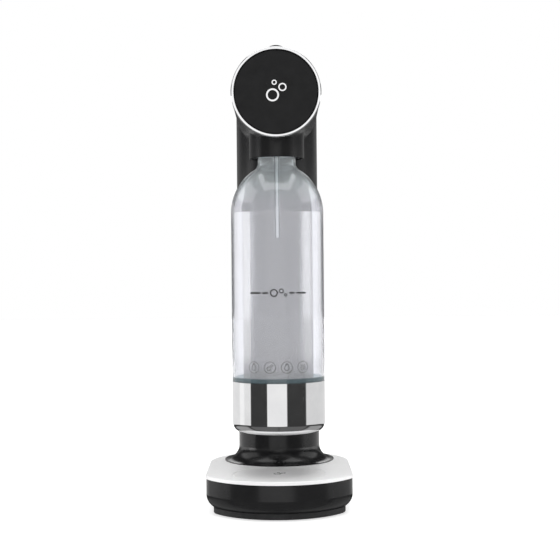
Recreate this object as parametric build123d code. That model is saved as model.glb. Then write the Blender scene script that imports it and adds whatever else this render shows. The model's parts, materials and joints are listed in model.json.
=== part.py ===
from build123d import *
import math
import os

# A counter-top drinking-water carbonator: a low base, a column that hides the gas
# cylinder, a horizontal barrel-shaped head and a bottle that hangs under the head.
# Millimetres, +Z up, front faces -Y, origin under the middle of the base.

# ---- driving dimensions ----------------------------------------------------------
bottle_y = -48.0            # axis of bottle, nozzle and button
column_y = 46.0             # axis of column and gas cylinder

base_half_width = 70.8
base_back_y = 34.0          # centre of the round back end
base_front_y = -104.8
base_front_r = 79.0
base_corner_r = 28.0
tray_inset = 7.4
tray_edge_r = 1.2
tray_floor = 4.2
shell_inset = 0.4
shell_lower_r = 14.0
shell_wall = 3.0
foot_height = 0.8
foot_thickness = 2.4
tray_top = 6.5
shell_top = 34.0
plate_top = 37.5
plate_sheet = 1.2
plate_rim = 1.8
plate_edge_r = 1.1
drip_ring_y = -55.6         # round groove in the top plate
drip_ring_r = 44.4
foot_r = 8.0
foot_places = [(-44, -62), (44, -62), (-50, 40), (50, 40), (0, 84)]
base_screw_places = [(-50, -28), (50, -28), (-38, 68), (38, 68)]
well_r = 31.6               # recess under the gas cylinder
well_floor = 22.0

column_r = 41.7
wall = 3.0
flare_r = 14.8
flare_lip = 0.8
head_z = 397.7              # axis of the barrel
ring_r = 42.0
barrel_front_y = -92.0
cover_y = 50.0              # where the housing ends and the rear cover begins
seam = 0.4
rib_heights = (150.0, 300.0)
column_screw_circle = 36.6
magnet_x = 36.0
magnet_r = 2.0

ring_front_y = -100.2
ring_edge_r = 0.8
ring_lip_r = 39.6
disc_front_y = -99.6
disc_back_y = -96.6
disc_r = 38.5
disc_step = 1.0             # thickness of the wider step round the disc's back

socket_r = 26.5
socket_bottom = 340.4
socket_top = 370.0

bottle_r = 44.5
bottle_wall = 2.0
neck_r = 18.35
neck_wall = 2.35
neck_top = 352.6
seal_low = 353.0            # seal that the bottle's mouth meets
seal_high = 355.9
thread_pitch = 3.6
manifold_half = 13.0
shoulder_r = 50.0
neck_fillet_r = 8.0
shoulder_z = 288.0
cup_bottom = 77.8
cup_top = 127.0
cup_r = 44.6
cup_wall = 0.8
cup_corner_r = 9.5

tube_r = 2.9
tube_bore_r = 1.6
tube_end = 264.5
tip_length = 10.0

hose_z = 381.0
hose_x = 6.0
hose_r = 2.5
hose_bore_r = 1.5
hose_front_y = -29.0
hose_back_y = 26.0

cylinder_r = 30.0
cylinder_bottom = 44.0
cylinder_shoulder_z = 326.0
cylinder_top = 355.0
valve_r = 10.5
valve_top = 383.0
pin_r = 2.4
gas_socket_r = 14.0
plunger_r = 2.2

plate_z = 370.0             # underside of the head chassis
plate_t = 2.5
pivot_y = 60.0
pivot_z = 395.5
lever_z = 396.5             # underside of the lever
lever_t = 5.5
lever_half_width = 6.0
lever_pin_r = 2.5
ear_x = 14.8
ear_t = 2.4
ear_r = 5.0
chassis_screw_x = 31.0
chassis_screw_y = 34.0

button_r = 14.2
button_skirt = 432.0
button_roof = 438.0         # underside of the cap, where the spring and the stem meet it
button_edge = 440.3
button_top = 450.4
bezel_r = 17.5
bezel_top = 441.5
guide_floor = 421.0
guide_bottom = 418.0
stem_r = 5.0

gap = 0.4                   # room between pieces that move past each other
running = 0.06              # radial clearance of a shaft in its bore

parts = {}


# ---- helpers ---------------------------------------------------------------------
def rod(radius, z_low, z_high, x=0.0, y=0.0):
    return Pos(x, y, (z_low + z_high) / 2) * Cylinder(radius, z_high - z_low)


def pipe(r_out, r_in, z_low, z_high, x=0.0, y=0.0):
    return rod(r_out, z_low, z_high, x, y) - rod(r_in, z_low - 1, z_high + 1, x, y)


def rod_y(radius, y_low, y_high, x=0.0, z=0.0):
    return Pos(x, (y_low + y_high) / 2, z) * Rot(90, 0, 0) * Cylinder(radius, y_high - y_low)


def rod_x(radius, x_low, x_high, y=0.0, z=0.0):
    return Pos((x_low + x_high) / 2, y, z) * Rot(0, 90, 0) * Cylinder(radius, x_high - x_low)


def block(low, high):
    size = [b - a for a, b in zip(low, high)]
    middle = [(a + b) / 2 for a, b in zip(low, high)]
    return Pos(*middle) * Box(*size)


def turned(points, x=0.0, y=0.0):
    """A closed outline of (radius, height) points, turned about a vertical axis."""
    face = make_face(Plane.XZ * Polyline(*points, close=True))
    return Pos(x, y, 0) * revolve(face, Axis.Z)


# ---- base ------------------------------------------------------------------------
def base_outline(inset):
    """Round back, straight sides, shallow round front, softened front corners."""
    half = base_half_width - inset
    front = base_front_r - inset
    corner = base_corner_r - inset
    front_centre = base_front_y + base_front_r
    drop = math.sqrt((front - corner) ** 2 - (half - corner) ** 2)
    turn = math.degrees(math.atan2(drop, half - corner))
    corner_y = front_centre - drop
    right = Curve() + [
        CenterArc((0, base_back_y), half, 0, 90),
        Line((half, base_back_y), (half, corner_y)),
        CenterArc((half - corner, corner_y), corner, -turn, turn),
        CenterArc((0, front_centre), front, -90, 90 - turn),
    ]
    return make_face(right + mirror(right, about=Plane.YZ))


def base_block(inset, z_low, z_high):
    return Pos(0, 0, z_low) * extrude(base_outline(inset), z_high - z_low)


def bottom_edges(solid):
    return solid.edges().group_by(Axis.Z)[0]


def rounded_block(inset, z_low, z_high, radius):
    solid = base_block(inset, z_low, z_high)
    return fillet(bottom_edges(solid), radius)


def column_screw_places():
    """Three screws through the base into the front half of the column's foot."""
    angles = [math.radians(degrees) for degrees in (-150, -90, -30)]
    return [(column_screw_circle * math.cos(a), column_y + column_screw_circle * math.sin(a)) for a in angles]


def make_base():
    spigot_inset = 12.8
    spigot_wall = 2.2
    screw_r = 1.6
    screw_seat = 3.0
    screw_end = 16.0
    tray = rounded_block(tray_inset, foot_height, tray_top, tray_edge_r)
    tray += base_block(spigot_inset, foot_height + 1, tray_top + 3)
    tray -= base_block(spigot_inset + spigot_wall, tray_floor, tray_top + 4)
    feet = []
    for x, y in foot_places:
        tray -= rod(foot_r + 0.1, 0, foot_thickness, x, y)
        foot = rod(foot_r, 0, foot_thickness, x, y)
        feet.append(chamfer(bottom_edges(foot), 0.5))
    screws = []
    for x, y in base_screw_places:
        tray -= rod(3.6, 0, screw_seat, x, y)
        tray -= rod(screw_r + 0.1, 0, tray_top + 1, x, y)
        screws.append(rod(3.3, 1.6, screw_seat, x, y) + rod(screw_r, screw_seat, screw_end, x, y))
    parts["foot_tray"] = tray
    parts["rubber_feet"] = Compound(children=feet)
    parts["base_screws"] = Compound(children=screws)

    floor_z = tray_top - 1.5
    shell = rounded_block(shell_inset, floor_z, shell_top, shell_lower_r)
    shell -= block((-100, -150, 0), (100, 150, tray_top))
    shell += base_block(plate_rim + 0.3, shell_top - 1, plate_top - plate_sheet - 0.05)
    inner = shell_inset + shell_wall
    cavity = rounded_block(inner, floor_z + shell_wall, shell_top - 0.8, shell_lower_r - shell_wall)
    shell -= cavity
    shell -= base_block(spigot_inset - 0.3, 0, tray_top + 4)
    shell -= rod(well_r, 0, 60, 0, column_y)
    shell += pipe(well_r + 1.4, well_r, well_floor - 2, shell_top, 0, column_y)
    shell += rod(well_r + 1.4, well_floor - 2, well_floor, 0, column_y)
    for x, y in base_screw_places:
        shell += rod(4.0, tray_floor, shell_top, x, y)
        shell -= rod(screw_r, 0, screw_end, x, y)
    for x, y in column_screw_places():
        shell -= rod(1.85, 20, 60, x, y)
    parts["base_shell"] = shell

    parts["cylinder_pad"] = rod(well_r - 0.4, well_floor, well_floor + 1, 0, column_y)


def make_plate():
    plate = base_block(0, shell_top + 0.05, plate_top)
    plate = fillet(plate.edges().group_by(Axis.Z)[-1], plate_edge_r)
    plate -= base_block(plate_rim, shell_top - 1, plate_top - plate_sheet)
    plate -= rod(well_r + 0.4, 0, 60, 0, column_y)
    groove = Pos(0, drip_ring_y, plate_top) * Torus(drip_ring_r, 0.6)
    plate -= groove
    for x, y in column_screw_places():
        plate -= rod(1.9, 20, 60, x, y)
    parts["base_top_plate"] = plate
    parts["plate_emblem"] = Pos(0, drip_ring_y, plate_top) * bubbles(0.35, 0.62)


def bubbles(height, scale):
    """Three rising bubbles: a plain fizz mark, flat on the XY plane."""
    marks = []
    for x, y, radius, line in [(-3.2, -3.0, 6.0, 1.5), (6.0, 4.2, 3.8, 1.2), (-1.6, 8.6, 2.4, 1.0)]:
        ring = Cylinder(radius * scale, height) - Cylinder((radius - line) * scale, 2 * height)
        marks.append(Pos(x * scale, y * scale, height / 2) * ring)
    return Compound(children=marks)


# ---- column, elbow and barrel ----------------------------------------------------
def side_prism(points):
    """A prism across the whole width, from an outline of (y, z) points."""
    face = make_face(Plane.YZ * Polyline(*points, close=True))
    return extrude(face, 100, both=True)


def housing_skin():
    """The outer skin as one tube: flared column, mitred barrel and domed back corner."""
    foot = plate_top + flare_lip
    flare_out = column_r + flare_r
    inner = column_r - wall
    outline = Curve() + [
        Line((inner, plate_top), (flare_out, plate_top)),
        Line((flare_out, plate_top), (flare_out, foot)),
        CenterArc((flare_out, foot + flare_r), flare_r, 180, 90),
        Line((column_r, foot + flare_r), (column_r, head_z)),
        Line((column_r, head_z), (inner, head_z)),
        Line((inner, head_z), (inner, plate_top)),
    ]
    reach = 2 * column_r
    corner = (column_y, head_z)
    down_slope = (column_y - reach, head_z - reach)
    column = Pos(0, column_y, 0) * revolve(make_face(Plane.XZ * outline), Axis.Z)
    column -= side_prism([corner, down_slope, (column_y - reach, head_z + 1), (column_y, head_z + 1)])
    barrel = rod_y(column_r, barrel_front_y, column_y, 0, head_z)
    barrel -= rod_y(inner, barrel_front_y - 1, column_y + 1, 0, head_z)
    barrel -= side_prism([corner, down_slope, (column_y + 1, head_z - reach), (column_y + 1, head_z)])
    dome = Pos(0, column_y, head_z) * (Sphere(column_r) - Sphere(inner))
    dome &= block((-reach, column_y, head_z), (reach, column_y + reach, head_z + reach))
    return column + barrel + dome


def side_rib(x_sign, y_low, y_high, z):
    rib_inner = 33.6
    rib_outer = 40.0
    low = min(x_sign * rib_inner, x_sign * rib_outer)
    return block((low, y_low, z - 7), (low + rib_outer - rib_inner, y_high, z + 7))


def make_housing():
    skin = housing_skin()
    far = 300.0
    housing = skin & block((-far, -far, 0), (far, cover_y, 2 * far))
    cover = skin & block((-far, cover_y + seam, plate_top + seam), (far, far, 2 * far))
    inside = rod(column_r - 1, plate_top, head_z, 0, column_y)

    screw_r = 1.8
    screw_seat = 33.15
    screw_end = 50.0
    for x, y in column_screw_places():
        boss = rod(3.2, plate_top, screw_end + 4, x, y) & inside
        housing += boss
        housing -= rod(screw_r, 0, screw_end, x, y)

    for sign in (-1, 1):
        low = min(sign * 27, sign * 41)
        ledge = block((low, 26, 350.0), (low + 14, 42, plate_z)) & inside
        housing += ledge
        housing -= rod(1.5, 360, 380, sign * chassis_screw_x, chassis_screw_y)

    magnets = []
    strikes = []
    for z in rib_heights:
        for sign in (-1, 1):
            housing += side_rib(sign, 43.5, cover_y, z) & inside
            cover += side_rib(sign, cover_y + seam, 56.0, z) & inside
            magnet = rod_y(magnet_r, cover_y - 3.0, cover_y, sign * magnet_x, z)
            strike = rod_y(magnet_r, cover_y + seam, cover_y + 1.8, sign * magnet_x, z)
            housing -= magnet
            magnets.append(magnet)
            cover -= strike
            strikes.append(strike)

    housing -= rod(socket_r + 0.05, socket_bottom, head_z, 0, bottle_y)
    housing -= rod(bezel_r + 0.05, head_z, 460, 0, bottle_y)
    parts["main_housing"] = housing
    parts["rear_cover"] = cover
    parts["cover_magnets"] = Compound(children=magnets)
    parts["cover_strikes"] = Compound(children=strikes)

    screws = []
    for x, y in column_screw_places():
        screw = rod(3.0, screw_seat - 2.15, screw_seat, x, y)
        screws.append(screw + rod(screw_r, screw_seat, screw_end, x, y))
    parts["column_screws"] = Compound(children=screws)


def turned_front(points):
    """A closed outline of (radius, y) points, turned about the barrel's axis."""
    face = make_face(Polyline(*points, close=True))
    return Pos(0, 0, head_z) * revolve(face, Axis.Y)


def make_front():
    """Flat-faced ring with a rounded outer edge, and a spigot inside the barrel's mouth."""
    spigot_r = column_r - wall - 0.1
    spigot_inner = 36.9
    spigot_end = barrel_front_y + 4
    ring = turned_front([
        (ring_lip_r, ring_front_y), (ring_r, ring_front_y), (ring_r, barrel_front_y),
        (spigot_r, barrel_front_y), (spigot_r, spigot_end), (spigot_inner, spigot_end),
        (spigot_inner, disc_back_y), (ring_lip_r, disc_back_y)])
    outer_edge = ring.edges().group_by(Axis.Y)[0].sort_by(SortBy.LENGTH)[-1]
    parts["front_ring"] = fillet(outer_edge, ring_edge_r)
    disc = rod_y(disc_r, disc_front_y, disc_back_y, 0, head_z)
    disc = fillet(disc.edges().group_by(Axis.Y)[0], 0.6)
    parts["front_disc"] = disc + rod_y(ring_lip_r - 0.1, disc_back_y - disc_step, disc_back_y, 0, head_z)
    parts["disc_backplate"] = rod_y(spigot_inner - 0.1, disc_back_y, disc_back_y + 2.2, 0, head_z)
    mark = Pos(0, disc_front_y, head_z) * Rot(90, 0, 0) * bubbles(0.55, 1.0)
    parts["front_emblem"] = mark


# ---- nozzle head -----------------------------------------------------------------
def make_nozzle():
    inner = socket_r - 2.5
    spigot_r = 9.0
    housing = rod(socket_r, socket_bottom, socket_top, 0, bottle_y)
    housing = fillet(bottom_edges(housing), 0.8)
    housing -= rod(inner, socket_bottom - 1, socket_top - 3, 0, bottle_y)
    housing -= rod(spigot_r + 0.1, 300, 400, 0, bottle_y)
    parts["nozzle_housing"] = housing

    thread_low = 341.6
    root_r = 21.6
    thread = [(inner - 0.05, thread_low), (inner - 0.05, seal_low), (root_r, seal_low)]
    for i in range(3):
        z = seal_low - 1.6 - thread_pitch * i
        thread += [(root_r, z), (root_r - 0.5, z - 0.8), (root_r - 0.5, z - 1.4), (root_r, z - 2.2)]
    thread += [(root_r, thread_low)]
    parts["thread_ring"] = turned(thread, 0, bottle_y)

    seal_r = root_r - 0.8
    parts["mouth_seal"] = pipe(seal_r, 12.0, seal_low, seal_high, 0, bottle_y)

    tube_top = 362.0
    spigot_top = 380.0
    body = rod(seal_r, seal_high, socket_top - 3, 0, bottle_y)
    body += rod(spigot_r, seal_high + 4, spigot_top, 0, bottle_y)
    body -= rod(tube_r + 0.05, 350, tube_top, 0, bottle_y)
    body -= rod(tube_bore_r, 350, 390, 0, bottle_y)
    parts["nozzle_body"] = body

    half = manifold_half
    manifold = block((-half, bottle_y - half, spigot_top - 4), (half, bottle_y + half, spigot_top + 8))
    manifold = fillet(manifold.edges().filter_by(Axis.Z), 2.0)
    manifold -= rod(spigot_r + 0.05, 370, spigot_top, 0, bottle_y)
    parts["gas_manifold"] = manifold

    tip_top = tube_end + tip_length
    parts["carbonation_tube"] = pipe(tube_r, tube_bore_r, tip_top, tube_top, 0, bottle_y)
    tip = rod(tube_r, tube_end, tip_top, 0, bottle_y)
    tip -= rod(tube_bore_r, tube_end + 2, tip_top + 1, 0, bottle_y)
    tip -= rod(0.5, tube_end - 1, tip_top, 0, bottle_y)
    parts["nozzle_tip"] = tip
    nut_height = 6.5
    nut = Pos(0, bottle_y, seal_high - nut_height) * extrude(RegularPolygon(7.0, 6), nut_height)
    parts["tube_nut"] = nut - rod(tube_r + 0.05, 340, 360, 0, bottle_y)

    valve_z = spigot_top + 2
    safety = rod_x(4.0, half, half + 4, bottle_y, valve_z)
    parts["safety_valve"] = safety + rod_x(6.0, half + 4, half + 17, bottle_y, valve_z)
    front = bottle_y - half
    relief = rod_y(4.0, front - 4, front, 0, valve_z)
    parts["relief_valve"] = relief + rod_y(5.8, front - 18, front - 4, 0, valve_z)


def make_hose():
    run = 14.0
    points = [(-hose_x, hose_back_y, hose_z), (-hose_x, hose_back_y - run, hose_z),
              (hose_x, hose_front_y + run, hose_z), (hose_x, hose_front_y, hose_z)]
    turn = math.atan2(2 * hose_x, hose_back_y - hose_front_y - 2 * run)
    bend = 0.45 * run / math.tan(turn / 2)
    path = FilletPolyline(*points, radius=bend)
    section = Plane(origin=path @ 0, z_dir=path % 0) * (Circle(hose_r) - Circle(hose_bore_r))
    parts["pressure_hose"] = sweep(section, path=path)

    fitting_r = 3.4
    back = rod_y(fitting_r, hose_back_y, 40, -hose_x, hose_z) - rod(gas_socket_r, 300, 450, 0, column_y)
    front = rod_y(fitting_r, bottle_y + manifold_half, hose_front_y, hose_x, hose_z)
    parts["hose_fittings"] = Compound(children=[back.solids()[0], front.solids()[0]])


# ---- gas cylinder and its holder --------------------------------------------------
def make_gas_socket():
    socket = rod(gas_socket_r, 365.0, 390.0, 0, column_y)
    socket += rod(17.0, plate_z + plate_t, plate_z + plate_t + 3, 0, column_y)
    socket -= rod(valve_r + gap, 360, 385.2, 0, column_y)
    socket -= rod(5.0, 380, 386.5, 0, column_y)
    socket -= rod(plunger_r + running, 380, 400, 0, column_y)
    parts["cylinder_socket"] = socket
    parts["cylinder_seal"] = pipe(valve_r, 5.0, valve_top + gap, 385.2, 0, column_y)
    plunger = rod(plunger_r, valve_top, 393.0, 0, column_y)
    plunger += rod(3.0, 392.0, lever_z - gap, 0, column_y)
    parts["valve_plunger"] = plunger


def make_cylinder():
    neck = 13.5
    outline = Curve() + [
        Line((0, cylinder_bottom + 3), (18, cylinder_bottom + 3)),
        Line((18, cylinder_bottom + 3), (22, cylinder_bottom)),
        Line((22, cylinder_bottom), (cylinder_r - 6, cylinder_bottom)),
        CenterArc((cylinder_r - 6, cylinder_bottom + 6), 6, -90, 90),
        Line((cylinder_r, cylinder_bottom + 6), (cylinder_r, cylinder_shoulder_z)),
        EllipticalCenterArc((neck, cylinder_shoulder_z), cylinder_r - neck, 24.0, start_angle=0, arc_size=90),
        Line((neck, cylinder_shoulder_z + 24.0), (neck, cylinder_top)),
        Line((neck, cylinder_top), (9.0, cylinder_top)),
        Line((9.0, cylinder_top), (9.0, 340.0)),
        Line((9.0, 340.0), (26.5, cylinder_shoulder_z - 6)),
        Line((26.5, cylinder_shoulder_z - 6), (26.5, cylinder_bottom + 9)),
        Line((26.5, cylinder_bottom + 9), (0, cylinder_bottom + 7)),
        Line((0, cylinder_bottom + 7), (0, cylinder_bottom + 3)),
    ]
    shell = revolve(make_face(Plane.XZ * outline), Axis.Z)
    parts["gas_cylinder"] = Pos(0, column_y, 0) * shell

    valve = rod(8.95, 338.0, cylinder_top + 1, 0, column_y)
    collar = Pos(0, column_y, cylinder_top) * extrude(RegularPolygon(14.0, 6), 6.0)
    valve += collar
    valve += rod(valve_r, cylinder_top + 5, valve_top, 0, column_y)
    valve -= rod(pin_r + running, 364.6, valve_top + 1, 0, column_y)
    parts["cylinder_valve"] = chamfer(valve.edges().group_by(Axis.Z)[-1].sort_by(SortBy.LENGTH)[-1], 0.8)
    parts["valve_pin"] = rod(pin_r, 366.0, valve_top - gap, 0, column_y)
    parts["cylinder_band"] = pipe(cylinder_r + 0.3, cylinder_r, 120.0, 240.0, 0, column_y)


# ---- head chassis and lever --------------------------------------------------------
def make_chassis():
    top = plate_z + plate_t
    plate = rod(34.5, plate_z, top, 0, column_y)
    plate += block((-22, bottle_y - 17, plate_z), (22, column_y, top))
    plate -= rod(gas_socket_r + 0.1, 300, 400, 0, column_y)
    plate -= rod(9.1, 300, 400, 0, bottle_y)
    for sign in (-1, 1):
        low = min(sign * ear_x, sign * (ear_x + ear_t))
        plate += block((low, pivot_y - ear_r, top - 1), (low + ear_t, pivot_y + ear_r, pivot_z))
        plate += rod_x(ear_r, low, low + ear_t, pivot_y, pivot_z)
        plate -= rod(1.55, 360, 380, sign * chassis_screw_x, chassis_screw_y)
    plate -= rod_x(lever_pin_r + 0.02, -30, 30, pivot_y, pivot_z)
    parts["head_chassis"] = plate

    screws = []
    for x in (-chassis_screw_x, chassis_screw_x):
        screws.append(rod(2.8, top, top + 2, x, chassis_screw_y) + rod(1.5, 360.0, top, x, chassis_screw_y))
    parts["chassis_screws"] = Compound(children=screws)

    out = ear_x + ear_t
    parts["lever_pin"] = rod_x(lever_pin_r, -out - 2.2, out + 2.2, pivot_y, pivot_z)
    clips = []
    for sign in (-1, 1):
        low = min(sign * (out + 0.3), sign * (out + 1.3))
        clip = rod_x(4.2, low, low + 1.0, pivot_y, pivot_z)
        clip -= rod_x(lever_pin_r + 0.02, -40, 40, pivot_y, pivot_z)
        mouth = block((low - 1, pivot_y - 1.6, pivot_z), (low + 2, pivot_y + 1.6, pivot_z + 8))
        clips.append(clip - mouth)
    parts["pin_clips"] = Compound(children=clips)

    lever = rod_x(4.6, -ear_x + gap, ear_x - gap, pivot_y, pivot_z)
    front = (-lever_half_width, bottle_y - 6, lever_z)
    bar = block(front, (lever_half_width, pivot_y + 2, lever_z + lever_t))
    bar = fillet(bar.edges().filter_by(Axis.Z).group_by(Axis.Y)[0], 5.0)
    lever += bar
    lever -= block((-3.0, bottle_y + 14, lever_z - 1), (3.0, column_y - 12, lever_z + 2.5))
    lever -= rod_x(lever_pin_r + running, -30, 30, pivot_y, pivot_z)
    parts["rocker_lever"] = lever


# ---- push button -------------------------------------------------------------------
def make_button():
    skirt_r = button_r - 2.6
    cap_outline = Curve() + [
        Line((0, button_roof), (skirt_r, button_roof)),
        Line((skirt_r, button_roof), (skirt_r, button_skirt)),
        Line((skirt_r, button_skirt), (button_r, button_skirt)),
        Line((button_r, button_skirt), (button_r, button_edge)),
        ThreePointArc((button_r, button_edge), dome_point(), (0, button_top)),
        Line((0, button_top), (0, button_roof)),
    ]
    cap = revolve(make_face(Plane.XZ * cap_outline), Axis.Z)
    parts["push_button"] = Pos(0, bottle_y, 0) * cap

    tip_r = 3.0
    stem_low = lever_z + lever_t + 0.5
    shoulder = 408.0
    stem = rod(stem_r, shoulder, button_roof, 0, bottle_y)
    stem += rod(tip_r, stem_low + tip_r, shoulder + 1, 0, bottle_y)
    stem += Pos(0, bottle_y, stem_low + tip_r) * Sphere(tip_r)
    parts["button_stem"] = stem
    parts["stem_clip"] = pipe(7.4, stem_r, 416.0, guide_bottom - gap, 0, bottle_y)

    bore = button_r + gap
    guide_top = button_skirt - 1
    guide = rod(bezel_r - 0.1, guide_bottom, guide_top, 0, bottle_y)
    guide -= rod(bore, guide_floor, 440, 0, bottle_y)
    guide -= rod(stem_r + running, 400, 440, 0, bottle_y)
    parts["button_guide"] = guide
    bezel = pipe(bezel_r, bore, guide_top, bezel_top, 0, bottle_y)
    parts["button_bezel"] = fillet(bezel.edges().group_by(Axis.Z)[-1], 0.9)

    wire = 0.6
    low = guide_floor + wire
    high = button_roof - wire - 0.05
    turns = 5
    coil = Helix(pitch=(high - low) / turns, height=high - low, radius=8.0)
    section = Plane(origin=coil @ 0, z_dir=coil % 0) * Circle(wire)
    spring = Pos(0, bottle_y, low) * sweep(section, path=coil, is_frenet=True)
    parts["return_spring"] = spring


def dome_point():
    """A point half-way along the domed top, on a circle through its edge and its crown."""
    rise = button_top - button_edge
    radius = (button_r ** 2 + rise ** 2) / (2 * rise)
    half = math.asin(button_r / radius) / 2
    return (radius * math.sin(half), button_top - radius * (1 - math.cos(half)))


# ---- bottle ------------------------------------------------------------------------
def bottle_outline(body, inset):
    """Body line, shoulder arc, neck arc and neck, from the cup's rim up to the mouth."""
    neck = neck_r - (neck_wall if inset else 0)
    convex = shoulder_r - inset
    concave = neck_fillet_r + inset if inset else neck_fillet_r
    out = (neck + concave) - (body - convex)
    rise = math.sqrt((convex + concave) ** 2 - out ** 2)
    bend = math.degrees(math.atan2(rise, out))
    neck_z = shoulder_z + rise
    return [
        CenterArc((body - convex, shoulder_z), convex, 0, bend),
        CenterArc((neck + concave, neck_z), concave, 180, bend),
        Line((neck, neck_z), (neck, neck_top)),
    ]


def make_bottle():
    seat = cup_r - cup_wall - 0.15
    floor_out = cup_bottom + cup_wall + 0.2
    corner = cup_corner_r - cup_wall
    low_r = seat - corner
    inner_r = bottle_r - bottle_wall
    low_inner = seat - bottle_wall
    outline = Curve() + [
        Line((0, floor_out + 3), (20, floor_out + 3)),
        ThreePointArc((20, floor_out + 3), (26, floor_out + 1.5), (low_r, floor_out)),
        CenterArc((low_r, floor_out + corner), corner, -90, 90),
        Line((seat, floor_out + corner), (seat, cup_top)),
        Line((seat, cup_top), (bottle_r, cup_top)),
        Line((bottle_r, cup_top), (bottle_r, shoulder_z)),
    ]
    outline += bottle_outline(bottle_r, 0)
    outline += Line((neck_r, neck_top), (neck_r - neck_wall, neck_top))
    outline += bottle_outline(inner_r, bottle_wall)
    inner_corner = corner - bottle_wall
    outline += [
        Line((inner_r, shoulder_z), (inner_r, cup_top + 4)),
        Line((inner_r, cup_top + 4), (low_inner, cup_top - 2)),
        Line((low_inner, cup_top - 2), (low_inner, floor_out + corner)),
        CenterArc((low_r, floor_out + corner), inner_corner, -90, 90),
        ThreePointArc((low_r, floor_out + bottle_wall), (26, floor_out + 3.5), (20, floor_out + 5)),
        Line((20, floor_out + 5), (0, floor_out + 5)),
        Line((0, floor_out + 5), (0, floor_out + 3)),
    ]
    shell = revolve(make_face(Plane.XZ * outline), Axis.Z)
    parts["bottle_shell"] = Pos(0, bottle_y, 0) * shell

    flat = cup_r - cup_corner_r
    inner = cup_r - cup_wall
    cup_outline = Curve() + [
        Line((0, cup_bottom), (flat, cup_bottom)),
        CenterArc((flat, cup_bottom + cup_corner_r), cup_corner_r, -90, 90),
        Line((cup_r, cup_bottom + cup_corner_r), (cup_r, cup_top - 0.3)),
        Line((cup_r, cup_top - 0.3), (inner, cup_top - 0.3)),
        Line((inner, cup_top - 0.3), (inner, cup_bottom + cup_corner_r)),
        CenterArc((flat, cup_bottom + cup_corner_r), cup_corner_r - cup_wall, -90, 90),
        Line((flat, cup_bottom + cup_wall), (0, cup_bottom + cup_wall)),
        Line((0, cup_bottom + cup_wall), (0, cup_bottom)),
    ]
    cup = revolve(make_face(Plane.XZ * cup_outline), Axis.Z)
    parts["bottle_base_cup"] = Pos(0, bottle_y, 0) * cup

    inner_ring = neck_r + running
    ring = [(inner_ring, 343.0), (inner_ring, 351.0), (20.0, 351.0)]
    for i in range(2):
        z = 349.8 - 3.6 * i
        ring += [(20.0, z), (20.6, z - 0.8), (20.6, z - 1.4), (20.0, z - 2.2)]
    ring += [(20.0, 343.0)]
    parts["bottle_neck_ring"] = turned(ring, 0, bottle_y)


def main():
    make_base()
    make_plate()
    make_housing()
    make_front()
    make_nozzle()
    make_hose()
    make_gas_socket()
    make_cylinder()
    make_chassis()
    make_button()
    make_bottle()
    os.makedirs("parts", exist_ok=True)
    for name, shape in parts.items():
        export_step(shape, "parts/%s.step" % name)


main()
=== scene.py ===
import bmesh
import bpy
import json
import math
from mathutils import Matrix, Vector


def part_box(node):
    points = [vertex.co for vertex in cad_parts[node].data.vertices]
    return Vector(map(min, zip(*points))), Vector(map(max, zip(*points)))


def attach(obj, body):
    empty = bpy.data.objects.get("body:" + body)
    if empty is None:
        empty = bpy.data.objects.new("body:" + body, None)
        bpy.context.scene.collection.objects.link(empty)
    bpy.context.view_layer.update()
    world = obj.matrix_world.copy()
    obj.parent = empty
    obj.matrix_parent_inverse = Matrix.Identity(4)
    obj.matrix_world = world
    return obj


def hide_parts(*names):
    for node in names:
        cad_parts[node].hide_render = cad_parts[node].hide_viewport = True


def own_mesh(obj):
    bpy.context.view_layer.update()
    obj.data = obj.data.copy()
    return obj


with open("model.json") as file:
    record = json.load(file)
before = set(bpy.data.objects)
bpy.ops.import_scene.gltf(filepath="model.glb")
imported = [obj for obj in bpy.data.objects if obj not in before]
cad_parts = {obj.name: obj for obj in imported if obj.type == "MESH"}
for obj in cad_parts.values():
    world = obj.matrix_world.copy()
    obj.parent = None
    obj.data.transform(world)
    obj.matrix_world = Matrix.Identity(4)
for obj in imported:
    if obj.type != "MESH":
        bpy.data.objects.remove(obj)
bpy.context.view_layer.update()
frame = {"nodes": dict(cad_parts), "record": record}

MM = 0.001
IMAGE_PIXELS = 560
# Painted reflection: the greener tint from the shoulder up stands in for the shoulder's
# reflections; BODY_TINT is the plastic's own milky colour.
PAINTED_SHOULDER_REFLECTION = (0.93, 0.975, 0.99)
BODY_TINT = (0.955, 0.96, 0.995)
# Painted reflection: the dark foot ring colour stands in for the bottle's floor reflecting the dark
# column behind it.
PAINTED_FOOT_REFLECTION = (0.34, 0.44, 0.48)


def link(obj):
    bpy.context.scene.collection.objects.link(obj)
    return obj


# ---- places, read from the frame ---------------------------------------------------
bottle_low, bottle_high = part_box("bottle_shell")
spring_low, spring_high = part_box("return_spring")
bottle_axis = (bottle_low + bottle_high) / 2
bottle_radius = (bottle_high.x - bottle_low.x) / 2


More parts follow.
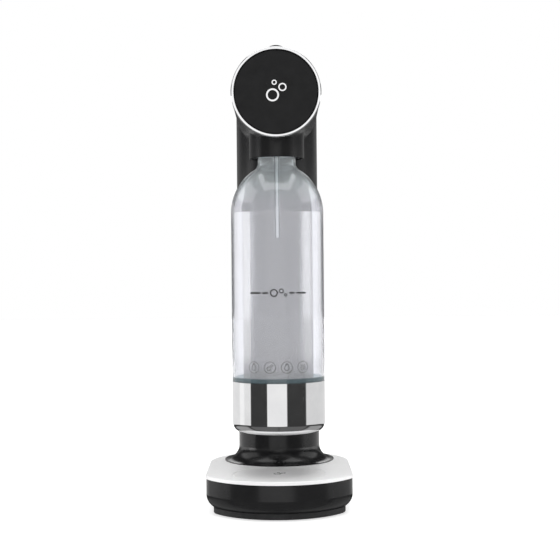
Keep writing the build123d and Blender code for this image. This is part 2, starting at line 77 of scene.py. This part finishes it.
# ---- material helpers ---------------------------------------------------------------
class Finish:
    """One material with a Principled shader, and short calls that add surface detail."""

    def __init__(self, name):
        self.material = bpy.data.materials.new(name)
        self.material.use_nodes = True
        self.nodes = self.material.node_tree.nodes
        self.links = self.material.node_tree.links
        self.shader = self.nodes["Principled BSDF"]
        self.place = self.nodes.new("ShaderNodeTexCoord").outputs["Object"]
        self.height = None

    def set(self, **values):
        for key, value in values.items():
            self.shader.inputs[key.replace("_", " ")].default_value = value

    def noise(self, scale, detail=3.0, stretch=(1, 1, 1), roughness=0.55):
        mapping = self.nodes.new("ShaderNodeMapping")
        mapping.inputs["Scale"].default_value = stretch
        self.links.new(self.place, mapping.inputs["Vector"])
        texture = self.nodes.new("ShaderNodeTexNoise")
        texture.inputs["Scale"].default_value = scale
        texture.inputs["Detail"].default_value = detail
        texture.inputs["Roughness"].default_value = roughness
        self.links.new(mapping.outputs["Vector"], texture.inputs["Vector"])
        return texture.outputs["Fac"]

    def spread(self, source, low, high, start=0.3, end=0.7):
        """source taken from start..end to low..high."""
        node = self.nodes.new("ShaderNodeMapRange")
        node.inputs["From Min"].default_value = start
        node.inputs["From Max"].default_value = end
        node.inputs["To Min"].default_value = low
        node.inputs["To Max"].default_value = high
        self.links.new(source, node.inputs["Value"])
        return node.outputs["Result"]

    def tint(self, source, dark, light, start=0.3, end=0.7):
        """Base colour between two colours."""
        ramp = self.nodes.new("ShaderNodeValToRGB")
        ramp.color_ramp.elements[0].position = start
        ramp.color_ramp.elements[0].color = (*dark, 1)
        ramp.color_ramp.elements[1].position = end
        ramp.color_ramp.elements[1].color = (*light, 1)
        self.links.new(source, ramp.inputs["Fac"])
        self.links.new(ramp.outputs["Color"], self.shader.inputs["Base Color"])

    def bands(self, stops):
        """Base colour that changes with the height, in metres: (height, colour), ..."""
        split = self.nodes.new("ShaderNodeSeparateXYZ")
        self.links.new(self.place, split.inputs[0])
        ramp = self.nodes.new("ShaderNodeValToRGB")
        low, high = stops[0][0], stops[-1][0]
        points = ramp.color_ramp.elements
        while len(points) < len(stops):
            points.new(0.5)
        for point, (height, colour) in zip(points, stops):
            point.position = (height - low) / (high - low)
            point.color = (*colour, 1)
        share = self.spread(split.outputs["Z"], 0.0, 1.0, low, high)
        self.links.new(share, ramp.inputs["Fac"])
        self.links.new(ramp.outputs["Color"], self.shader.inputs["Base Color"])

    def roughness(self, source, low, high):
        self.links.new(self.spread(source, low, high), self.shader.inputs["Roughness"])

    def bump(self, source, depth_mm, strength=1.0):
        node = self.nodes.new("ShaderNodeBump")
        node.inputs["Strength"].default_value = strength
        node.inputs["Distance"].default_value = depth_mm * MM
        self.links.new(source, node.inputs["Height"])
        if self.height is not None:
            self.links.new(self.height, node.inputs["Normal"])
        self.height = node.outputs["Normal"]
        self.links.new(self.height, self.shader.inputs["Normal"])


def math_node(nodes, links, operation, *values):
    node = nodes.new("ShaderNodeMath")
    node.operation = operation
    for i, value in enumerate(values):
        if isinstance(value, (int, float)):
            node.inputs[i].default_value = value
        else:
            links.new(value, node.inputs[i])
    return node.outputs[0]


def grey(value):
    return (value, value, value)


# ---- materials ----------------------------------------------------------------------
def black_gloss():
    f = Finish("black_gloss")
    f.set(Specular_IOR_Level=0.34)
    f.tint(f.noise(60, 4), (0.0100, 0.0100, 0.0105), (0.0135, 0.0135, 0.0140))
    f.roughness(f.noise(35, 5), 0.17, 0.22)
    f.bump(f.noise(1100, 2), 0.006, 0.4)
    return f.material


def black_disc():
    f = Finish("black_disc")
    f.set(Specular_IOR_Level=0.12)
    f.tint(f.noise(90, 4), (0.012, 0.012, 0.0125), (0.016, 0.016, 0.0165))
    f.roughness(f.noise(50, 5), 0.4, 0.5)
    f.bump(f.noise(1300, 2), 0.008, 0.5)
    return f.material


def shaded_black_socket():
    f = Finish("shaded_black_socket")
    f.set(Specular_IOR_Level=0.3)
    # Painted shade: a darker copy of black_gloss, its darker base colour standing in for the shade
    # under the head.
    f.tint(f.noise(80, 4), (0.0085, 0.0085, 0.009), (0.0115, 0.0115, 0.012))
    f.roughness(f.noise(50, 5), 0.18, 0.25)
    f.bump(f.noise(1300, 2), 0.006, 0.4)
    return f.material


def black_matte():
    f = Finish("black_matte")
    f.tint(f.noise(200, 4), (0.012, 0.012, 0.013), (0.021, 0.021, 0.022))
    f.roughness(f.noise(300, 4), 0.5, 0.66)
    f.bump(f.noise(2200, 3), 0.05, 0.6)
    return f.material


def button_black():
    f = Finish("button_black")
    f.set(Specular_IOR_Level=0.03)
    f.tint(f.noise(120, 4), (0.026, 0.026, 0.027), (0.036, 0.036, 0.037))
    f.roughness(f.noise(90, 5), 0.36, 0.46)
    f.bump(f.noise(1500, 2), 0.006, 0.4)
    return f.material


def white_plastic():
    f = Finish("white_plastic")
    f.set(Subsurface_Weight=0.05)
    f.tint(f.noise(120, 4), (0.66, 0.67, 0.67), (0.76, 0.76, 0.75))
    f.roughness(f.noise(200, 4), 0.38, 0.5)
    f.bump(f.noise(1800, 2), 0.02, 0.4)
    return f.material


def rubber(name="rubber", dark=(0.014, 0.014, 0.014), light=(0.03, 0.03, 0.03)):
    f = Finish(name)
    f.set(Specular_IOR_Level=0.3)
    f.tint(f.noise(150, 5), dark, light)
    f.roughness(f.noise(260, 4), 0.68, 0.85)
    f.bump(f.noise(1600, 4), 0.06, 0.7)
    return f.material


def silicone():
    return rubber("silicone", (0.42, 0.44, 0.45), (0.55, 0.57, 0.58))


def zinc_steel():
    f = Finish("zinc_steel")
    f.set(Metallic=1.0)
    cells = f.noise(220, 6, roughness=0.7)
    f.tint(cells, (0.46, 0.47, 0.5), (0.66, 0.67, 0.68))
    f.roughness(cells, 0.26, 0.42)
    f.bump(f.noise(1200, 3), 0.01, 0.4)
    return f.material


def magnet():
    f = Finish("magnet")
    f.set(Metallic=1.0)
    f.tint(f.noise(500, 3), (0.5, 0.5, 0.5), (0.62, 0.62, 0.63))
    f.roughness(f.noise(700, 4), 0.12, 0.25)
    return f.material


def brass():
    f = Finish("brass")
    f.set(Metallic=1.0)
    turned = f.noise(1500, 3, (0.06, 0.06, 1))
    f.tint(f.noise(70, 5), (0.56, 0.36, 0.13), (0.75, 0.53, 0.24))
    f.roughness(turned, 0.2, 0.36)
    f.bump(turned, 0.01, 0.4)
    return f.material


def chrome(name="chrome", low=0.035, high=0.075):
    f = Finish(name)
    f.set(Metallic=1.0)
    f.tint(f.noise(45, 4), (0.80, 0.80, 0.81), (0.87, 0.87, 0.875))
    f.roughness(f.noise(140, 6, roughness=0.65), low, high)
    f.bump(f.noise(2400, 2), 0.0015, 0.3)
    return f.material


def brushed_plate():
    f = Finish("brushed_plate")
    f.set(Metallic=0.28)
    streaks = f.noise(2600, 3, (0.012, 1, 1))
    f.tint(streaks, grey(0.93), grey(0.99))
    f.roughness(streaks, 0.44, 0.54)
    f.bump(streaks, 0.006, 0.3)
    return f.material


def clear_tritan():
    """Clear, milky plastic, with a painted dark reflection ring at its foot and a painted greener
    reflection tint from the shoulder up.
    """
    foot_reflection_low, foot_reflection_high, foot_reflection_end = 0.126, 0.1305, 0.1315
    shoulder_reflection_low, shoulder_reflection_high = 0.296, 0.318
    f = Finish("clear_tritan")
    f.set(IOR=1.5, Specular_IOR_Level=0.5, Transmission_Weight=0.825)
    # The dark foot ring and the greener shoulder band are painted reflections, laid on by height.
    f.bands((
        (foot_reflection_low, PAINTED_FOOT_REFLECTION), (foot_reflection_high, PAINTED_FOOT_REFLECTION), (foot_reflection_end, BODY_TINT),
        (shoulder_reflection_low, BODY_TINT), (shoulder_reflection_high, PAINTED_SHOULDER_REFLECTION),
    ))
    f.roughness(f.noise(25, 4), 0.01, 0.035)
    f.bump(f.noise(28, 2), 0.05, 0.12)
    return f.material


def print_grey(name, value):
    f = Finish(name)
    f.tint(f.noise(900, 3), grey(value * 0.85), grey(value * 1.15))
    f.roughness(f.noise(600, 3), 0.5, 0.65)
    return f.material


def tube_steel():
    """The carbonation tube: pale, with four painted dark blue-green reflection lines down its
    length, standing in for its edges reflecting the dark surroundings.
    """
    lines = 4.0
    # dark is the painted reflection colour of the four lines; pale is the tube's own colour.
    dark, pale = (0.012, 0.030, 0.038), (0.80, 0.83, 0.85)
    f = Finish("tube_steel")
    f.set(Metallic=0.3)
    split = f.nodes.new("ShaderNodeSeparateXYZ")
    f.links.new(f.place, split.inputs[0])
    depth = math_node(f.nodes, f.links, "SUBTRACT", split.outputs["Y"], bottle_axis.y)
    turn = math_node(f.nodes, f.links, "ARCTAN2", split.outputs["X"], depth)
    turns = math_node(f.nodes, f.links, "MULTIPLY", turn, lines)
    reflection_wave = math_node(f.nodes, f.links, "COSINE", turns)
    f.tint(f.spread(reflection_wave, 0.0, 1.0, -0.6, -0.15), dark, pale, 0.0, 1.0)
    f.roughness(f.noise(900, 3, (1, 1, 0.05)), 0.14, 0.26)
    f.bump(f.noise(1400, 3, (1, 1, 0.05)), 0.006, 0.3)
    return f.material


def hose_rubber():
    f = Finish("hose_rubber")
    f.tint(f.noise(300, 3), (0.016, 0.016, 0.018), (0.03, 0.03, 0.032))
    f.roughness(f.noise(400, 3), 0.42, 0.55)
    f.bump(f.noise(1800, 3, (1, 0.15, 1)), 0.04, 0.5)
    return f.material


def cylinder_paint():
    f = Finish("cylinder_paint")
    f.set(Metallic=0.85)
    f.tint(f.noise(3000, 2), (0.46, 0.48, 0.51), (0.6, 0.62, 0.65))
    f.roughness(f.noise(80, 5), 0.34, 0.46)
    f.bump(f.noise(500, 3), 0.02, 0.4)
    return f.material


def band_plastic():
    f = Finish("band_plastic")
    f.tint(f.noise(60, 4), (0.05, 0.19, 0.33), (0.07, 0.24, 0.4))
    f.roughness(f.noise(200, 4), 0.36, 0.48)
    f.bump(f.noise(1400, 2), 0.01, 0.4)
    return f.material


MAKERS = {
    "black_gloss": black_gloss, "black_matte": black_matte, "button_black": button_black,
    "white_plastic": white_plastic, "rubber": rubber, "silicone": silicone,
    "zinc_steel": zinc_steel, "magnet": magnet, "brass": brass, "chrome": chrome,
    "cup_chrome": lambda: chrome("cup_chrome", 0.03, 0.06), "brushed_plate": brushed_plate,
    "clear_tritan": clear_tritan, "tube_steel": tube_steel,
    "hose_rubber": hose_rubber, "cylinder_paint": cylinder_paint, "band_plastic": band_plastic,
}
materials = {name: make() for name, make in MAKERS.items()}
slot_of = {part["node"]: part["material_slot"] for part in frame["record"]["subparts"]}


def dress(node, material):
    data = frame["nodes"][node].data
    data.materials.clear()
    data.materials.append(material)


for node in frame["nodes"]:
    dress(node, materials[slot_of[node]])
dress("front_disc", black_disc())
dress("nozzle_housing", shaded_black_socket())


# ---- print on the bottle ------------------------------------------------------------
INK = 0.06  # its thickness, in mm
RING_SIDES = 64


def on_bottle(u, v, lift):
    """A point of the bottle's side: u mm round it from the front, v mm up, lift mm proud of it."""
    radius = bottle_radius + lift * MM
    angle = u * MM / bottle_radius
    return (
        bottle_axis.x + radius * math.sin(angle),
        bottle_axis.y - radius * math.cos(angle),
        v * MM,
    )


def ribbon(mesh, pairs, closed):
    """A thin closed strip of ink between each pair's two points."""
    rows = []
    for near, far in pairs:
        corners = ((near, 0.0), (far, 0.0), (far, INK), (near, INK))
        rows.append([mesh.verts.new(on_bottle(*point, lift)) for point, lift in corners])
    following = rows[1:] + rows[:1] if closed else rows[1:]
    for row, after in zip(rows, following):
        for i in range(4):
            j = (i + 1) % 4
            mesh.faces.new((row[i], row[j], after[j], after[i]))
    if not closed:
        mesh.faces.new(rows[0][::-1])
        mesh.faces.new(rows[-1])


def ring_pairs(u, v, radius, width, drop=0.0):
    """A round outline; drop pulls its top up to a point."""
    pairs = []
    for i in range(RING_SIDES):
        angle = i * 2 * (math.pi / RING_SIDES)
        pull = 1 + drop * max(0.0, math.sin(angle)) ** 6
        ends = ((radius - width) * pull, radius * pull)
        pairs.append([(u + r * math.cos(angle), v + r * math.sin(angle)) for r in ends])
    return pairs


def bar_pairs(start, end, v, height):
    steps = 16
    places = [start + (end - start) * i / steps for i in range(steps + 1)]
    return [((u, v - height / 2), (u, v + height / 2)) for u in places]


def printed(name, material, rings, bars):
    """One printed piece on the bottle."""
    mesh = bmesh.new()
    for ring in rings:
        ribbon(mesh, ring_pairs(*ring), True)
    for bar in bars:
        ribbon(mesh, bar_pairs(*bar), False)
    bmesh.ops.recalc_face_normals(mesh, faces=mesh.faces)
    data = bpy.data.meshes.new(name)
    mesh.to_mesh(data)
    mesh.free()
    data.materials.append(material)
    piece = link(bpy.data.objects.new(name, data))
    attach(piece, "bottle")


def print_bottle():
    """A fill line with three bubbles on it, and a row of small pictograms near the foot.

    In millimetres. Rings are (across, up, radius, width, drop), bars (start, end, up, height).
    """
    line = 211.5
    bubbles = [(-3.6, line, 3.7, 1.1), (3.5, line + 1.8, 2.2, 0.8), (7.4, line - 1.9, 1.5, 0.7)]
    spans = [(-27.5, -16.5), (-14.5, -9.5), (11.0, 16.0), (18.0, 28.0)]
    dashes = [(start, end, line, 1.5) for start, end in spans]
    printed("bottle_fill_mark", print_grey("dark_ink", 0.035), bubbles, dashes)

    row = 142.0
    spots = [-24.0, -8.0, 8.0, 24.0]
    circles = [(u, row, 5.6, 0.5) for u in spots]
    drops = [(spots[0], row - 0.8, 2.4, 0.6, 0.9), (spots[2], row - 0.8, 2.4, 0.6, 0.9)]
    bubbles = [(spots[1] - 1.0, row - 1.0, 2.0, 0.6), (spots[1] + 1.9, row + 1.7, 1.3, 0.5)]
    shelf = [(spots[3] - 2.6, spots[3] + 2.6, row + k, 0.7) for k in (-1.8, 0.0, 1.8)]
    printed("bottle_pictograms", print_grey("pale_ink", 0.15), circles + drops + bubbles, shelf)


print_bottle()


# ---- return spring, drawn as a coil --------------------------------------------------
def coil_spring():
    wire = 0.6 * MM
    turns = 5
    around = 32
    wire_sides = 8
    middle = (spring_low + spring_high) / 2
    radius = (spring_high.x - spring_low.x) / 2 - wire
    steps = turns * around
    rise = spring_high.z - spring_low.z - 2 * wire

    mesh = bmesh.new()
    rows = []
    for i in range(steps + 1):
        turn = 2 * math.pi * i / around
        height = spring_low.z + wire + rise * i / steps
        row = []
        for j in range(wire_sides):
            side = 2 * math.pi * j / wire_sides
            reach = radius + wire * math.cos(side)
            point = (middle.x + reach * math.cos(turn), middle.y + reach * math.sin(turn))
            row.append(mesh.verts.new((*point, height + wire * math.sin(side))))
        rows.append(row)
    for row, after in zip(rows, rows[1:]):
        for j in range(wire_sides):
            k = (j + 1) % wire_sides
            mesh.faces.new((row[j], row[k], after[k], after[j]))
    mesh.faces.new(rows[0][::-1])
    mesh.faces.new(rows[-1])
    bmesh.ops.recalc_face_normals(mesh, faces=mesh.faces)
    for face in mesh.faces:
        face.smooth = len(face.verts) == 4

    data = bpy.data.meshes.new("coil_spring")
    mesh.to_mesh(data)
    mesh.free()
    name = slot_of["return_spring"]
    data.materials.append(materials[name])
    piece = link(bpy.data.objects.new("coil_spring", data))
    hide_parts("return_spring")
    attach(piece, "machine")
    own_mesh(piece)


coil_spring()


# ---- studio -------------------------------------------------------------------------
DARK_ROOM = 0.045
FILL = 0.8
# Panels round the object: degrees from straight ahead (one turn, or the same on both
# sides), the soft edge, heights as the sine of the elevation, its soft edge, brightness.
PANELS = [
    ("turn", -28.5, 20.5, 2.0, -0.25, 0.14, 0.03, 0.94),
    ("both", -9.0, 9.0, 5.0, 0.10, 0.24, 0.02, 1.15),
    ("both", -18.0, 18.0, 8.0, 0.15, 0.70, 0.10, 0.45),
    ("turn", -200.0, -73.3, 2.0, -0.19, -0.065, 0.03, 0.86),
    ("turn", -120.0, -88.0, 22.0, -0.19, -0.065, 0.03, 1.04),
    ("turn", 71.5, 200.0, 5.0, -0.19, -0.065, 0.03, 0.76),
    ("turn", -96.0, -71.5, 3.0, -0.065, 0.062, 0.02, 5.0),
    ("turn", 60.0, 96.0, 30.0, -0.065, 0.062, 0.02, 3.7),
    ("both", 88.0, 122.0, 14.0, -0.065, 0.062, 0.02, 1.9),
    ("both", 62.0, 138.0, 24.0, -0.065, 0.062, 0.02, 1.2),
    ("both", 66.0, 130.0, 16.0, 0.30, 0.70, 0.10, 1.2),
    ("both", -55.0, 55.0, 8.0, -0.065, 0.085, 0.02, 0.7),
    ("both", 126.0, 168.0, 34.0, 0.05, 0.14, 0.02, 0.34),
    ("both", 168.0, 200.0, 10.0, 0.21, 0.46, 0.06, 1.8),
    ("both", -1.0, 200.0, 1.0, 0.80, 1.50, 0.30, 0.6),
    ("both", 85.0, 150.0, 16.0, -1.50, -0.30, 0.08, 0.34),
    ("both", -1.0, 78.0, 12.0, -1.50, -0.27, 0.05, 0.13),
]


def make_floor():
    half = 6.0
    corners = [(-half, -half, 0), (half, -half, 0), (half, half, 0), (-half, half, 0)]
    mesh = bpy.data.meshes.new("floor")
    mesh.from_pydata(corners, [], [(0, 1, 2, 3)])
    floor = link(bpy.data.objects.new("floor", mesh))
    finish = Finish("pale_floor")
    finish.set(Emission_Color=(1, 1, 1, 1), Emission_Strength=0.6)
    finish.tint(finish.noise(3, 4), grey(0.72), grey(0.75))
    finish.roughness(finish.noise(8, 4), 0.6, 0.7)
    mesh.materials.append(finish.material)
    floor.visible_glossy = False


def make_world():
    """White to the eye and FILL to matt surfaces; reflections see a dark room with soft panels."""
    world = bpy.data.worlds.new("studio")
    bpy.context.scene.world = world
    world.use_nodes = True
    nodes, links = world.node_tree.nodes, world.node_tree.links

    def sums(operation, *values):
        return math_node(nodes, links, operation, *values)

    def step(value, middle, soft, low, high):
        node = nodes.new("ShaderNodeMapRange")
        node.interpolation_type = "SMOOTHSTEP"
        ends = {
            "From Min": middle - soft / 2, "From Max": middle + soft / 2,
            "To Min": low, "To Max": high,
        }
        for key, number in ends.items():
            node.inputs[key].default_value = number
        links.new(value, node.inputs["Value"])
        return node.outputs["Result"]

    def window(value, start, end, soft):
        opening = step(value, start, soft, 0.0, 1.0)
        closing = step(value, end, soft, 1.0, 0.0)
        return sums("MULTIPLY", opening, closing)

    split = nodes.new("ShaderNodeSeparateXYZ")
    links.new(nodes.new("ShaderNodeTexCoord").outputs["Generated"], split.inputs[0])
    ahead = sums("MULTIPLY", split.outputs["Y"], -1.0)
    turn = sums("MULTIPLY", sums("ARCTAN2", split.outputs["X"], ahead), math.degrees(1))
    both = sums("ABSOLUTE", turn)
    level = split.outputs["Z"]

    glow = None
    for way, start, end, soft, low, high, level_soft, brightness in PANELS:
        across = window(both if way == "both" else turn, start, end, soft)
        up = window(level, low, high, level_soft)
        panel = sums("MULTIPLY", sums("MULTIPLY", across, up), brightness)
        glow = panel if glow is None else sums("MAXIMUM", glow, panel)
    glow = sums("MAXIMUM", glow, DARK_ROOM)

    path = nodes.new("ShaderNodeLightPath")
    direct = sums("LESS_THAN", path.outputs["Glossy Depth"], 0.5)
    through = sums("MULTIPLY", path.outputs["Is Transmission Ray"], direct)
    seen = sums("MAXIMUM", path.outputs["Is Camera Ray"], through)
    fill = sums("MULTIPLY", path.outputs["Is Diffuse Ray"], FILL)
    glow = sums("MAXIMUM", glow, fill)
    background = nodes["Background"]
    background.inputs["Color"].default_value = (1, 1, 1, 1)
    links.new(sums("MAXIMUM", glow, seen), background.inputs["Strength"])


def make_light(name, place, aim, width, height, watts):
    data = bpy.data.lights.new(name, "AREA")
    data.shape = "RECTANGLE"
    data.size = width
    data.size_y = height
    data.energy = watts
    lamp = link(bpy.data.objects.new(name, data))
    lamp.location = place
    lamp.rotation_euler = (Vector(aim) - Vector(place)).to_track_quat("-Z", "Y").to_euler()


def make_camera():
    """Eye near the middle of the object's height, almost level. Lengths in metres."""
    aside = 0.0022
    distance = 1.245
    eye_height = 0.2226
    tilt = 90.046
    roll = 0.5
    focal_in_pixels = 1239.0
    sensor = 36.0  # mm
    data = bpy.data.cameras.new("camera")
    data.sensor_width = sensor
    data.lens = focal_in_pixels / IMAGE_PIXELS * sensor
    camera = link(bpy.data.objects.new("camera", data))
    camera.location = (aside, -distance, eye_height)
    camera.rotation_euler = (math.radians(tilt), math.radians(roll), 0)
    bpy.context.scene.camera = camera


make_floor()
make_world()
make_camera()
make_light("top_softbox", place=(0, -0.2, 1.6), aim=(0, 0, 0), width=1.6, height=1.6, watts=12)
bpy.context.scene.view_settings.view_transform = "Standard"
